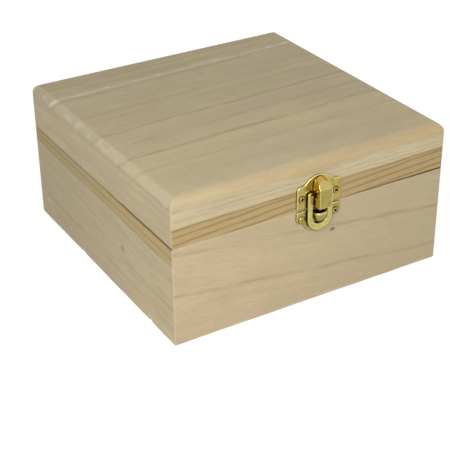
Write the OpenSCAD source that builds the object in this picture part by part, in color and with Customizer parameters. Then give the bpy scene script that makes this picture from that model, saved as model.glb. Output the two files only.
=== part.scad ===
// Hinged keepsake box of pale unfinished wood, closed by a brass toggle latch.
// Origin at the centre of the base; +X to the right along the front, +Y to the back, +Z up.
// The lid is drawn shut and the latch is drawn locked.

/* [Box] */
// Outside width along the front
box_w = 178; // [120:1:300]
// Outside depth from front to back
box_d = 178; // [150:1:300]
// Height of the lower box, table to rim
body_h = 60; // [40:1:150]
// Height of the lid, rim to top
lid_h = 28.6; // [28.6:0.2:80]
// Gap between the two rims when the lid is shut
rim_gap = 0.4; // [0.2:0.1:1]
// Thickness of the side boards
wall_t = 9; // [8:0.5:14]
// Rounding of the upright corners
corner_r = 1.5; // [0.5:0.5:3]

/* [Bottom panel] */
// Thickness of the plywood bottom
base_t = 4; // [3:0.5:8]
// How far the rebate for the bottom reaches into each wall
rebate_w = 4.5; // [3:0.5:6]
// Play between the bottom panel and the rebate's side
base_play = 0.1; // [0.05:0.05:0.3]

/* [Lid top] */
// Thickness of the glued-up top
top_t = 7; // [6:0.5:8]
// Height of the straight edge below the top's rounded edge
top_edge = 1; // [0.5:0.5:4]
// Width of the top's back board
top_back_w = 28.5; // [20:0.5:40]
// Width of the board in front of it
top_mid_back_w = 60; // [30:0.5:64]
// Width of the next board; the front board takes the rest
top_mid_front_w = 34; // [20:0.5:40]
// How much further back a joint lies at the right end than at the left end
joint_lean = 7.5; // [0:0.5:10]

/* [Screws] */
// Radius of the screw heads
head_r = 1.9; // [1.4:0.1:2]
// Height of the domed heads
head_h = 1; // [0.7:0.1:1.2]
// Radius of the screw shanks
screw_r = 0.9; // [0.6:0.1:1]
// Length of the screws under the head
screw_l = 6.5; // [4:0.5:7.5]
// Width of the cross recess
recess_w = 0.5; // [0.3:0.1:0.6]
// Depth of the cross recess
recess_deep = 0.5; // [0.2:0.1:0.6]
// Play round a shank in its hole
hole_play = 0.05; // [0.02:0.01:0.1]

/* [Latch plates] */
// Sideways place of the latch from the middle of the front
latch_x = 2; // [-40:1:40]
// Thickness of the stamped sheet
plate_t = 1; // [0.8:0.1:1.5]
// Width across the ears of both plates
plate_w = 28.8; // [27:0.2:34]
// Height of the upper plate's ears
ear_h = 13.8; // [12:0.2:15]
// Rounding of the ears' outer corners
ear_r = 2.8; // [1:0.2:3]
// Rounding of the corners beside the seam
foot_r = 0.8; // [0.4:0.2:1]
// How far the arch rises above the ears
arch_rise = 5; // [4:0.2:5.6]
// Radius of the arch and of the keeper's belly
arch_r = 11.4; // [11:0.2:12]
// Height of the keeper's ears
keeper_ear_h = 7.4; // [6.8:0.2:9]
// How far the keeper's belly hangs below its ears
belly_drop = 7.2; // [6:0.2:8]
// Distance from the lid's rim up to the upper plate
plate_lift = 1; // [0.5:0.1:2]
// Distance from the body's rim down to the keeper
keeper_set = 0.2; // [0:0.1:1]
// Distance between the two screws of a plate
screw_span = 22.2; // [21:0.2:23]
// Height of the upper screws above the plate's lower edge
plate_screw_up = 6.2; // [5:0.2:8]
// Depth of the keeper's screws below its upper edge
keeper_screw_down = 4.9; // [3:0.1:5]

/* [Latch lever] */
// Width of the lever
lever_w = 8.2; // [7.4:0.2:9]
// Length of the lever
lever_l = 17.1; // [16.5:0.1:19]
// Height of the lever's lower edge above the middle of the seam
lever_low = 2; // [1.8:0.1:3]
// Distance from the plate's face out to the lever's face
lever_out = 7; // [6.6:0.1:8]
// Thickness of the lever's sheet
lever_wall = 0.8; // [0.5:0.1:0.9]
// Length of the lever's flat lower face
lever_flat = 10.5; // [9:0.5:12]
// How far the face falls back at the thumb end
nose_drop = 1.8; // [0.5:0.1:2.5]
// Radius of the lever pin
lever_pin_r = 0.7; // [0.5:0.1:0.8]
// Height of the lever pin above the lever's lower edge
pin_up = 1.2; // [1.2:0.1:1.6]
// Distance from the plate's face out to the lever pin
pin_out = 3.6; // [3.4:0.1:3.8]
// Thickness of the pivot lugs
lug_t = 0.8; // [0.6:0.1:1]
// Radius of the lugs' round ends
lug_r = 1.3; // [1.2:0.1:1.4]
// Play between a lug and the lever's side
lug_play = 0.3; // [0.2:0.05:0.4]
// Height of the slot in each side of the lever
slot_h = 1.6; // [0.8:0.1:1.8]
// Depth of that slot below the loop's pivot
slot_down = 1.4; // [1.3:0.1:1.6]
// Least metal behind a pivot hole
pivot_edge = 0.6; // [0.4:0.1:0.7]

/* [Latch loop] */
// Width of the band between the lever and the loop's outer edge
loop_band = 3.2; // [2:0.1:3.4]
// Thickness of the band
loop_t = 1.2; // [1:0.1:1.6]
// Clear distance from the plate's face to the loop
loop_gap = 1.2; // [1.1:0.1:1.6]
// Side play between the lever and the loop
loop_play = 0.8; // [0.6:0.1:1]
// Height of the loop's pivot above the lever pin
loop_up = 6.2; // [6:0.1:7]
// Clear distance under the catch
catch_play = 1.2; // [0.6:0.05:1.4]

/* [Catch] */
// Radius of the catch's mouth
catch_r = 4.4; // [3.6:0.1:4.5]
// Height of the catch, mouth to bottom
catch_h = 7; // [6:0.1:7]
// Depth of the catch's mouth below the keeper's upper edge
catch_down = 1.6; // [1:0.1:2]
// Thickness of the catch's shell
catch_wall = 0.8; // [0.5:0.1:1]

/* [Hinges] */
// Distance from the side of the box to the middle of a hinge
hinge_inset = 37; // [20:1:60]
// Length of a hinge
hinge_l = 24; // [18:1:40]
// Height of a leaf from the hinge line
leaf_h = 11; // [10:0.5:16]
// Thickness of a leaf
leaf_t = 1; // [0.8:0.1:1.4]
// Radius of the knuckles
barrel_r = 1.7; // [1.5:0.1:2.2]
// Radius of the hinge pins
hinge_pin_r = 0.8; // [0.5:0.1:1]
// Thickness of the heads on the hinge pins
pin_head = 0.4; // [0.2:0.1:0.8]
// Clear distance from the knuckles to the back of the box
barrel_clear = 0.3; // [0.2:0.05:0.6]
// Clear distance from the knuckles to the flat of a leaf
leaf_clear = 0.4; // [0.3:0.05:0.8]
// Gap between neighbouring knuckles
knuckle_play = 0.2; // [0.1:0.05:0.4]
// Running play round a pin
pin_play = 0.05; // [0.02:0.01:0.1]
// Distance between the two screws of a leaf
leaf_screw_span = 14; // [12:0.5:18]
// Angle at which the stop lips hold the open lid
stop_angle = 105; // [95:1:120]
// Reach of a stop lip from the hinge line
lip_l = 4.5; // [3.5:0.1:4.8]
// Thickness of a stop lip
lip_t = 0.9; // [0.6:0.1:0.9]

/* [Hidden] */
$fn = 64;

// Cutting shapes run this much past the faces they cut
over = 1;

// Heights of the rims, of the middle of the seam and of the lid's parts
lid_rim = body_h + rim_gap;
seam_z = body_h + rim_gap / 2;
lid_wall_h = lid_h - top_t;
top_z = lid_rim + lid_wall_h;
top_round = top_t - top_edge;

// Joints between the boards of the top, from the back forwards
top_joint_1 = box_d / 2 - top_back_w;
top_joint_2 = top_joint_1 - top_mid_back_w;
top_joint_3 = top_joint_2 - top_mid_front_w;

// Latch heights, measured from the middle of the seam
plate_low = rim_gap / 2 + plate_lift;
plate_screw_z = plate_low + plate_screw_up;
keeper_high = -rim_gap / 2 - keeper_set;
keeper_screw_z = keeper_high - keeper_screw_down;
lever_high = lever_low + lever_l;
pin_z = lever_low + pin_up;
loop_pivot_z = pin_z + loop_up;
catch_high = keeper_high - catch_down;
catch_low = catch_high - catch_h;

// Latch distances out from the front of the box
pin_n = plate_t + pin_out;
face_n = plate_t + lever_out;
loop_n = plate_t + loop_gap;
loop_pivot_n = loop_n + loop_t / 2;
stub_r = loop_t / 2;
back_low_n = pin_n - lever_pin_r - pin_play - pivot_edge;
back_high_n = loop_pivot_n - stub_r - pin_play - pivot_edge;
slot_n = pin_n + slot_h / 2;

// Loop widths, from the lever outwards
loop_in = lever_w / 2 + loop_play;
loop_out = loop_in + loop_band;
loop_mid = (loop_in + loop_out) / 2;
loop_centre_z = catch_low - catch_play + loop_in;
lug_x = lever_w / 2 - lever_wall - lug_play - lug_t;

// Hinge line and knuckles
hinge_y = box_d / 2 + barrel_r + barrel_clear;
knuckle_l = (hinge_l - 2 * knuckle_play) / 3;
leaf_start = barrel_r + leaf_clear;
leaf_back = -barrel_r - barrel_clear;
leaf_screw_z = (leaf_start + leaf_h) / 2;
lip_play = 0.05;

// Turn of the cross recess in the latch screws
recess_turn = 20;

wood = "#d9c6a0";
wood_dark = "#c9b184";
ply = "#d2bd92";
brass = "#c8ac50";
brass_dark = "#a8862f";

// Rectangle with round corners, centred
module rounded_rect(w, d, r) {
    square([w - 2 * r, d], center = true);
    square([w, d - 2 * r], center = true);
    for (x = [-1, 1], y = [-1, 1])
        translate([x * (w / 2 - r), y * (d / 2 - r)]) circle(r);
}

// Places its children on the front of the box: x along the front, y up from the seam, z outwards
module on_front() {
    translate([latch_x, -box_d / 2, seam_z]) rotate([90, 0, 0]) children();
}

// Places its children on a hinge: x along the pin, y outwards, z up from the hinge line
module on_hinge(side) {
    translate([side * (box_w / 2 - hinge_inset), hinge_y, seam_z]) children();
}

// Turns a side view, drawn as (height, distance out), into a sheet that is centred on the middle plane
module side_sheet(w) {
    rotate([90, 0, 90]) linear_extrude(w, center = true) children();
}

// Round-headed wood screw: the head sits on z = 0 and the shank points down
module screw() {
    ball_r = (head_r * head_r + head_h * head_h) / (2 * head_h);
    recess_l = 1.2 * head_r;
    point_l = 2 * screw_r;
    point_r = 0.2 * screw_r;
    difference() {
        intersection() {
            translate([0, 0, head_h - ball_r]) sphere(ball_r);
            cylinder(r = head_r + over, h = head_h + over);
        }
        for (a = [0, 90])
            rotate(a) translate([-recess_l / 2, -recess_w / 2, head_h - recess_deep])
                cube([recess_l, recess_w, head_h]);
    }
    translate([0, 0, point_l - screw_l]) cylinder(r = screw_r, h = screw_l - point_l);
    translate([0, 0, -screw_l]) cylinder(r1 = point_r, r2 = screw_r, h = point_l);
}

// Both screws of a latch plate at one height, driven home at different turns
module latch_screws(z) {
    on_front() for (x = [-1, 1])
        translate([x * screw_span / 2, z, plate_t]) rotate(recess_turn * x) screw();
}

// Pilot holes for the screws of a latch plate
module latch_pilots(z) {
    on_front() for (x = [-1, 1])
        translate([x * screw_span / 2, z, plate_t - screw_l - over])
            cylinder(r = screw_r + hole_play, h = screw_l + over);
}

// Places its children at the screws of both hinges, above the hinge line (up = 1) or below it (up = -1)
module at_hinge_screws(up) {
    for (side = [-1, 1], x = [-1, 1])
        on_hinge(side) translate([x * leaf_screw_span / 2, leaf_back + leaf_t, up * leaf_screw_z])
            rotate([-90, 0, 0]) children();
}

module hinge_pilots(up) {
    at_hinge_screws(up) translate([0, 0, -screw_l - over])
        cylinder(r = screw_r + hole_play, h = screw_l + over);
}

// Plan of one mitred wall; the walls in front and behind run along X, the others along Y
module mitred_plan(w, d) {
    outer = [w / 2, d / 2];
    inner = outer - [wall_t, wall_t];
    intersection() {
        polygon([[-outer.x, -outer.y], [outer.x, -outer.y], [inner.x, -inner.y], [-inner.x, -inner.y]]);
        rounded_rect(w, d, corner_r);
    }
}

// The four walls of one frame, numbered 0 front, 1 right, 2 back, 3 left
module wall(number, z, h) {
    along_x = number % 2 == 0;
    translate([0, 0, z]) rotate(90 * number) linear_extrude(h)
        mitred_plan(along_x ? box_w : box_d, along_x ? box_d : box_w);
}

// Room that the bottom panel and its play take up in the walls
module base_seat() {
    seat_w = box_w - 2 * (wall_t - rebate_w);
    seat_d = box_d - 2 * (wall_t - rebate_w);
    translate([-seat_w / 2, -seat_d / 2, -over]) cube([seat_w, seat_d, base_t + over]);
}

module body_front_wall() {
    color(wood) difference() {
        wall(0, 0, body_h);
        base_seat();
        latch_pilots(keeper_screw_z);
    }
}

module body_back_wall() {
    color(wood) difference() {
        wall(2, 0, body_h);
        base_seat();
        hinge_pilots(-1);
    }
}

// The right wall is 1 and the left wall is 3
module body_side_wall(number) {
    color(wood) difference() {
        wall(number, 0, body_h);
        base_seat();
    }
}

module bottom_panel() {
    panel_w = box_w - 2 * (wall_t - rebate_w + base_play);
    panel_d = box_d - 2 * (wall_t - rebate_w + base_play);
    color(ply) translate([-panel_w / 2, -panel_d / 2, 0]) cube([panel_w, panel_d, base_t]);
}

module lid_front_wall() {
    color(wood_dark) difference() {
        wall(0, lid_rim, lid_wall_h);
        latch_pilots(plate_screw_z);
    }
}

module lid_back_wall() {
    color(wood) difference() {
        wall(2, lid_rim, lid_wall_h);
        hinge_pilots(1);
    }
}

module lid_side_wall(number) {
    color(wood) wall(number, lid_rim, lid_wall_h);
}

// End view of the top: a board with its two upper edges rounded
module rounded_top_profile(w) {
    translate([-w / 2, 0]) square([w, top_t - top_round]);
    translate([top_round - w / 2, 0]) square([w - 2 * top_round, top_t]);
    for (x = [-1, 1]) translate([x * (w / 2 - top_round), top_t - top_round]) circle(top_round);
}

// Ends of a line across the top, straight at an outside edge or leaning like the joints
function top_line(y, lean) = [for (side = [-1, 1]) [side * box_w / 2, y + side * lean / 2]];
function joint(y) = top_line(y, joint_lean);
front_edge = top_line(-box_d / 2, 0);
back_edge = top_line(box_d / 2, 0);

// One board of the glued-up top, between two lines across it
module top_board(front, back) {
    color(wood) translate([0, 0, top_z]) intersection() {
        linear_extrude(top_t) rounded_rect(box_w, box_d, corner_r);
        rotate([90, 0, 0]) linear_extrude(box_d, center = true) rounded_top_profile(box_w);
        rotate([90, 0, 90]) linear_extrude(box_w, center = true) rounded_top_profile(box_d);
        linear_extrude(top_t) polygon([front[0], front[1], back[1], back[0]]);
    }
}

// One knuckle of a hinge, numbered 0 to 2 along the pin, with its neck to the leaf above or below
module knuckle(number, up, bore_r) {
    x0 = -hinge_l / 2 + number * (knuckle_l + knuckle_play);
    translate([x0, 0, 0]) difference() {
        union() {
            rotate([0, 90, 0]) cylinder(r = barrel_r, h = knuckle_l);
            translate([0, leaf_back, up > 0 ? 0 : -leaf_start]) cube([knuckle_l, leaf_t, leaf_start]);
        }
        translate([-over, 0, 0]) rotate([0, 90, 0]) cylinder(r = bore_r, h = knuckle_l + 2 * over);
    }
}

// Flat of a leaf with its two screw holes
module leaf_flat(up) {
    difference() {
        translate([-hinge_l / 2, leaf_back, up > 0 ? leaf_start : -leaf_h])
            cube([hinge_l, leaf_t, leaf_h - leaf_start]);
        for (x = [-1, 1])
            translate([x * leaf_screw_span / 2, leaf_back - over, up * leaf_screw_z])
                rotate([-90, 0, 0]) cylinder(r = screw_r + hole_play, h = leaf_t + 2 * over);
    }
}

module hinge_body_leaf(side) {
    color(brass) on_hinge(side) {
        leaf_flat(-1);
        knuckle(0, -1, hinge_pin_r);
        knuckle(2, -1, hinge_pin_r);
    }
}

// The stop lip meets the face of the body leaf when the lid has turned through the stop angle
module hinge_lid_leaf(side) {
    leaf_face = leaf_back + leaf_t;
    color(brass) on_hinge(side) {
        leaf_flat(1);
        knuckle(1, 1, hinge_pin_r + pin_play);
        difference() {
            rotate([stop_angle, 0, 0])
                translate([-knuckle_l / 2, leaf_face + lip_play, -lip_l]) cube([knuckle_l, lip_t, lip_l]);
            translate([-knuckle_l / 2 - over, 0, 0]) rotate([0, 90, 0])
                cylinder(r = hinge_pin_r + pin_play, h = knuckle_l + 2 * over);
        }
    }
}

module hinge_pin(side) {
    color(brass_dark) on_hinge(side) rotate([0, 90, 0]) {
        cylinder(r = hinge_pin_r, h = hinge_l, center = true);
        for (x = [-1, 1])
            translate([0, 0, x * (hinge_l + pin_head) / 2])
                cylinder(r = (hinge_pin_r + barrel_r) / 2, h = pin_head, center = true);
    }
}

module hinge_screws(up) {
    color(brass_dark) at_hinge_screws(up) screw();
}

// Ears of a latch plate between two heights, with larger corners away from the seam
module ears(low, high, seam_low) {
    near_h = (high - low) / 2;
    far_h = high - low - foot_r;
    near_y = seam_low ? low + near_h / 2 : high - near_h / 2;
    far_y = seam_low ? high - far_h / 2 : low + far_h / 2;
    translate([0, near_y]) rounded_rect(plate_w, near_h, foot_r);
    translate([0, far_y]) rounded_rect(plate_w, far_h, ear_r);
}

// Disc segment that swells out of the ears, cut off at the seam side
module swell(centre, low, high) {
    intersection() {
        translate([0, centre]) circle(arch_r);
        translate([-arch_r, low]) square([2 * arch_r, high - low]);
    }
}

module plate_holes(z) {
    for (x = [-1, 1]) translate([x * screw_span / 2, z]) circle(screw_r + hole_play);
}

// Lug for the lever pin, bent out of the plate
module lug(x) {
    translate([x, 0, 0]) side_sheet(lug_t) difference() {
        union() {
            translate([pin_z - lug_r, 0]) square([2 * lug_r, pin_n]);
            translate([pin_z, pin_n]) circle(lug_r);
        }
        translate([pin_z, pin_n]) circle(lever_pin_r);
    }
}

module latch_plate() {
    ear_high = plate_low + ear_h;
    arch_high = ear_high + arch_rise;
    color(brass) on_front() {
        linear_extrude(plate_t) difference() {
            union() {
                ears(plate_low, ear_high, true);
                swell(arch_high - arch_r, plate_low, arch_high + over);
            }
            plate_holes(plate_screw_z);
        }
        for (x = [-1, 1]) lug(x * (lug_x + lug_t / 2));
    }
}

module latch_plate_screws() {
    color(brass_dark) latch_screws(plate_screw_z);
}

module lever_pin() {
    color(brass_dark) on_front() translate([0, pin_z, pin_n]) rotate([0, 90, 0])
        cylinder(r = lever_pin_r, h = lever_w, center = true);
}

// Front outline of the lever, drawn in by an inset; the inset one is open at the lower end
module lever_outline(inset) {
    r = lever_w / 2 - inset;
    low = inset > 0 ? lever_low - over : lever_low;
    translate([-r, low]) square([2 * r, lever_high - lever_w / 2 - low]);
    translate([0, lever_high - lever_w / 2]) circle(r);
}

// Side view of the lever's outside: flat face, thumb end, and a slot that opens towards the plate
module lever_side() {
    slot_high = loop_pivot_z - slot_down;
    polygon([
        [lever_low, back_low_n], [lever_low, face_n], [lever_low + lever_flat, face_n],
        [lever_high, face_n - nose_drop], [lever_high, back_high_n], [slot_high, back_high_n],
        [slot_high, slot_n], [slot_high - slot_h, slot_n], [slot_high - slot_h, back_low_n]
    ]);
}

// Side view of the hollow behind the lever's face
module lever_hollow() {
    inner_n = face_n - lever_wall;
    polygon([
        [lever_low - over, 0], [lever_low - over, inner_n], [lever_low + lever_flat, inner_n],
        [lever_high, inner_n - nose_drop], [lever_high, 0]
    ]);
}

module latch_lever() {
    color(brass) on_front() difference() {
        intersection() {
            linear_extrude(face_n + over) lever_outline(0);
            side_sheet(lever_w + over) lever_side();
        }
        intersection() {
            linear_extrude(face_n + over) lever_outline(lever_wall);
            side_sheet(lever_w + over) lever_hollow();
        }
        translate([0, pin_z, pin_n]) rotate([0, 90, 0])
            cylinder(r = lever_pin_r + pin_play, h = lever_w + over, center = true);
        translate([0, loop_pivot_z, loop_pivot_n]) rotate([0, 90, 0])
            cylinder(r = stub_r + pin_play, h = lever_w + over, center = true);
    }
}

// Flat U band with round ends, and a stub on each arm that turns in the lever's side
module latch_loop() {
    stub_in = lever_w / 2 - lever_wall;
    arm_l = loop_pivot_z - loop_centre_z;
    color(brass) on_front() {
        translate([0, 0, loop_n]) linear_extrude(loop_t) {
            difference() {
                union() {
                    translate([-loop_out, loop_centre_z]) square([2 * loop_out, arm_l]);
                    translate([0, loop_centre_z]) circle(loop_out);
                }
                translate([-loop_in, loop_centre_z]) square([2 * loop_in, arm_l + over]);
                translate([0, loop_centre_z]) circle(loop_in);
            }
            for (x = [-1, 1]) translate([x * loop_mid, loop_pivot_z]) circle(loop_band / 2);
        }
        for (x = [-1, 1])
            translate([x * (stub_in + loop_mid) / 2, loop_pivot_z, loop_pivot_n]) rotate([0, 90, 0])
                cylinder(r = stub_r, h = loop_mid - stub_in, center = true);
    }
}

// Bowl with its mouth upwards: a quarter of an ellipse turned about its upright axis
module bowl(r, h) {
    steps = 12;
    rim = [for (i = [0 : steps]) let (a = 90 * i / steps) [r * cos(a), -h * sin(a)]];
    rotate_extrude() polygon(concat([[0, 0]], rim));
}

// The keeper's catch is half a bowl, pressed out of the plate and open at its mouth
module keeper_plate() {
    keeper_low = keeper_high - keeper_ear_h;
    belly_low = keeper_low - belly_drop;
    mouth = [0, catch_high, plate_t];
    color(brass) on_front() difference() {
        union() {
            linear_extrude(plate_t) difference() {
                union() {
                    ears(keeper_low, keeper_high, false);
                    swell(belly_low + arch_r, belly_low - over, keeper_high);
                }
                plate_holes(keeper_screw_z);
            }
            intersection() {
                translate(mouth) rotate([-90, 0, 0]) bowl(catch_r, catch_h);
                translate([-catch_r, catch_low, 0]) cube([2 * catch_r, catch_h, plate_t + catch_r]);
            }
        }
        translate(mouth) rotate([-90, 0, 0]) bowl(catch_r - catch_wall, catch_h - catch_wall);
    }
}

module keeper_screws() {
    color(brass_dark) latch_screws(keeper_screw_z);
}

body_front_wall();
body_back_wall();
body_side_wall(3);  // body_left_wall
body_side_wall(1);  // body_right_wall
bottom_panel();
lid_front_wall();
lid_back_wall();
lid_side_wall(3);  // lid_left_wall
lid_side_wall(1);  // lid_right_wall
top_board(joint(top_joint_1), back_edge);  // lid_top_back_board
top_board(joint(top_joint_2), joint(top_joint_1));  // lid_top_mid_back_board
top_board(joint(top_joint_3), joint(top_joint_2));  // lid_top_mid_front_board
top_board(front_edge, joint(top_joint_3));  // lid_top_front_board
hinge_body_leaf(-1);  // left_hinge_body_leaf
hinge_lid_leaf(-1);  // left_hinge_lid_leaf
hinge_pin(-1);  // left_hinge_pin
hinge_body_leaf(1);  // right_hinge_body_leaf
hinge_lid_leaf(1);  // right_hinge_lid_leaf
hinge_pin(1);  // right_hinge_pin
hinge_screws(-1);  // hinge_body_screws
hinge_screws(1);  // hinge_lid_screws
latch_plate();
latch_plate_screws();
lever_pin();
latch_lever();
latch_loop();
keeper_plate();
keeper_screws();
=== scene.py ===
"""Hinged keepsake box of pale bare wood with a brass toggle latch on its front.

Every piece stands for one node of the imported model. Sizes in the functions are millimetres in the
model's own frame: origin at the centre of the base, X to the right, Y to the back, Z up.
"""

import bpy
import numpy as np
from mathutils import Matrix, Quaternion, Vector


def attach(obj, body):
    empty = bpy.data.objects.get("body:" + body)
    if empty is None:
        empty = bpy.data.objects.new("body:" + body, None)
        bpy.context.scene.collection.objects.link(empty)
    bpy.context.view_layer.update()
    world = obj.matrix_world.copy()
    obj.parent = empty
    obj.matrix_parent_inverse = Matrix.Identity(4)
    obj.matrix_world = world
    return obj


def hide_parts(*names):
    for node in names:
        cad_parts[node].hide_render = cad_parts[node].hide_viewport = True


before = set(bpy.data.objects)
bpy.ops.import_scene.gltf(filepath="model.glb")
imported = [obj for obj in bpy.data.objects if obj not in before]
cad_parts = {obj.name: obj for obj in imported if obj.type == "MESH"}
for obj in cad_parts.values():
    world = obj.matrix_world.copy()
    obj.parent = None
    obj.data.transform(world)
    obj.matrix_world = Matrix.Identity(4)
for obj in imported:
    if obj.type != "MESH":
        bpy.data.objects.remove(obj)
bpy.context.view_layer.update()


# The lower box: four boards of pale paulownia, 9 mm thick, mitred and glued at the corners.
# They are sanded but bare, so the grain, the pores and the eased edges all show.
# A rebate along the foot of each board takes the bottom panel.

mm = 0.001
half_width, box_height, wall_thick, corner_r = 89.0, 89.0, 9.0, 0.8
body_high, rebate_deep, rebate_high = 60.0, 4.5, 4.0


def strip_faces(rows, columns, closed):
    """Quads between neighbouring rows of a point grid, wrapping round where the rows are closed."""
    index = np.arange(rows * columns).reshape(rows, columns)
    ahead = np.roll(index, -1, axis=1)
    if not closed:
        index, ahead = index[:, :-1], ahead[:, :-1]
    return np.stack([index[:-1], ahead[:-1], ahead[1:], index[1:]], axis=-1).reshape(-1, 4).tolist()


def loft(rings):
    """Closed rings of points joined by quads, with one flat face over each end."""
    rows, columns = rings.shape[:2]
    index = np.arange(rows * columns).reshape(rows, columns)
    faces = strip_faces(rows, columns, True)
    faces += [index[0][::-1].tolist(), index[-1].tolist()]
    return rings.reshape(-1, 3), faces


def outward(points, faces):
    """Faces of one surface, turned to point outward.

    Each face is cut into a fan of triangles. Their volumes about the middle of the surface, summed
    with their signs, come out negative where the faces point inward.
    """
    fans = np.array([(face[0], face[i], face[i + 1]) for face in faces for i in range(1, len(face) - 1)])
    a, b, c = (points - points.mean(axis=0))[fans.T]
    if np.sum(a * np.cross(b, c)) < 0:
        return [face[::-1] for face in faces]
    return faces


def add_piece(node, body, slot, material, parts, crease=35.0, **marks):
    """Put surfaces given in millimetres into the scene as one smooth piece that stands for a node.

    Each mark is a value per point that the material reads, such as how rubbed the edge is there.
    """
    starts = np.cumsum([0] + [len(points) for points, _ in parts])
    points = np.concatenate([points for points, _ in parts]) * mm
    faces = [[int(start) + i for i in face] for start, part in zip(starts, parts) for face in outward(*part)]
    mesh = bpy.data.meshes.new("visual_" + node)
    mesh.from_pydata(points.tolist(), [], faces)
    mesh.shade_smooth()
    mesh.set_sharp_from_angle(angle=np.radians(crease))
    for mark, value in marks.items():
        layer = mesh.attributes.new(mark, "FLOAT", "POINT")
        layer.data.foreach_set("value", np.ravel(value).astype(np.float32))
    mesh.materials.append(material)
    piece = bpy.data.objects.new("visual_" + node, mesh)
    bpy.context.scene.collection.objects.link(piece)
    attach(piece, body)
    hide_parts(node)
    return piece


def circle(angle):
    """Points of the unit circle at some angles."""
    return np.stack([np.cos(angle), np.sin(angle)], axis=-1)


def eased_section(signs, steps=4):
    """Section with quarter-circle corners, as each point's corner and its offset in units of the ease.

    signs gives the outward direction of each corner, or (0, 0) for one that stays sharp. A point
    lies at its corner plus the ease times the offset, and one more point, 2.5 eases out, holds the
    flat beside each quarter circle.
    """
    hold = 2.5
    which, offset, rounding = [], [], []
    for corner, sign in enumerate(signs):
        turn = np.arctan2(sign[1], sign[0]) + np.linspace(-np.pi / 4, np.pi / 4, steps + 1)
        arc = circle(turn) - np.array(sign)
        arc = np.concatenate([hold * arc[:1], arc, hold * arc[-1:]])
        held = np.r_[0.0, np.ones(steps + 1), 0.0]
        if sign == (0, 0):
            arc, held = np.zeros((1, 2)), np.zeros(1)
        which += [corner] * len(arc)
        offset.append(arc)
        rounding.append(held)
    return np.array(which), np.concatenate(offset), np.concatenate(rounding)


def wobble(along, seed, reach):
    """Slow wander of a hand-eased edge: three sine waves of unlike length, within plus or minus reach."""
    waves = np.sin(along / 11 + seed) + np.sin(along / 29 + 2.3 * seed) + np.sin(along / 4.7 + 5.1 * seed)
    return reach * waves / 3


def eased(radius, seed=0.0, reach=0.0):
    """Ease of one edge as a function of the place along it: a radius that wanders by a reach."""
    return lambda x: radius + wobble(x, seed, reach)


def mitred_board(number, corners, signs, eases):
    """One wall of a frame, numbered 0 front, 1 right, 2 back, 3 left, with mitred ends.

    The section is drawn as (depth from the outside, height). Its outer face follows a line that
    ends in an eighth of a circle of 0.8 mm at each mitre, its inner face a shorter straight line,
    and a point in between divides the two lines by its depth. eases gives one radius per section
    corner, as a function of the place along the wall.
    """
    turn = np.linspace(0, np.pi / 4, 6)
    straight = np.linspace(-1, 1, 61) * (half_width - corner_r - 1.5)
    bend_x = half_width - corner_r + corner_r * np.sin(turn)
    bend_d = corner_r * (1 - np.cos(turn))
    outer_x = np.concatenate([-bend_x[::-1], straight, bend_x])
    outer_d = np.concatenate([bend_d[::-1], 0 * straight, bend_d])
    inner_x = outer_x * (half_width - wall_thick) / outer_x.max()
    which, offset, rounding = eased_section(signs)
    radius = np.stack([ease(outer_x) for ease in eases], axis=-1)[:, which]
    section = np.array(corners)[which][None] + radius[..., None] * offset[None]
    depth, height = section[..., 0], section[..., 1]
    share = depth / wall_thick
    x = outer_x[:, None] * (1 - share) + inner_x[:, None] * share
    y = depth + outer_d[:, None] * (1 - share) - half_width
    for _ in range(number):
        x, y = -y, x
    return loft(np.stack([x, y, height], axis=-1)), rounding[None] + 0 * share


def add_wall(node, number, shared, eases, material, rubbed_below=np.inf):
    """Mitred wall as a piece. Its eased edges carry the mark of rubbing, up to a height.

    shared is what the walls of one frame have in common: their body, and the corners and signs of
    their section.
    """
    body, corners, signs = shared
    board, edge = mitred_board(number, corners, signs, eases)
    height = board[0][:, 2].reshape(edge.shape)
    add_piece(node, body, "wood", material, [board], edge=edge * (height < rubbed_below))


def tint(red, green, blue):
    """Screen colour from 0 to 255 as the linear colour that shaders use."""
    value = np.array([red, green, blue]) / 255
    linear = np.where(value <= 0.04045, value / 12.92, ((value + 0.055) / 1.055) ** 2.4)
    return (*linear.tolist(), 1.0)


def add_node(tree, kind, inputs, **options):
    """Add a shader node, set its options, and give each input a link or a plain value."""
    made = tree.nodes.new("ShaderNode" + kind)
    for option, value in options.items():
        setattr(made, option, value)
    for socket, value in inputs.items():
        if isinstance(value, bpy.types.NodeSocket):
            tree.links.new(value, made.inputs[socket])
        else:
            made.inputs[socket].default_value = value
    return made.outputs[0]


def calc(tree, operation, *values):
    """Math node on links or plain numbers."""
    return add_node(tree, "Math", dict(enumerate(values)), operation=operation)


def times(tree, first, *others):
    """Product of links and plain numbers."""
    for other in others:
        first = calc(tree, "MULTIPLY", first, other)
    return first


def scaled(tree, value, factor, plus):
    """Value times a factor, plus one more link or number."""
    return calc(tree, "MULTIPLY_ADD", value, factor, plus)


def smooth(tree, value, start, stop):
    """Soft step of a value: 0 at start, 1 at stop, which may be the smaller of the two."""
    low, high = min(start, stop), max(start, stop)
    at_low = 0.0 if start < stop else 1.0
    return add_node(tree, "MapRange", {0: value, 1: low, 2: high, 3: at_low, 4: 1 - at_low},
                    interpolation_type="SMOOTHSTEP")


def noise(tree, place, scale, seed, detail=2.0):
    """Noise over a place in millimetres, with one patch size per direction."""
    finer = tuple(1 / size for size in scale)
    moved = add_node(tree, "VectorMath", {0: place, 1: finer, 2: (seed, 1.7 * seed, seed)},
                     operation="MULTIPLY_ADD")
    return add_node(tree, "TexNoise", {"Vector": moved, "Scale": 1.0, "Detail": detail})


def mix(tree, amount, first, second):
    """Colour between two colours, by an amount from 0 to 1."""
    return add_node(tree, "MixRGB", {0: amount, 1: first, 2: second})


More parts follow.
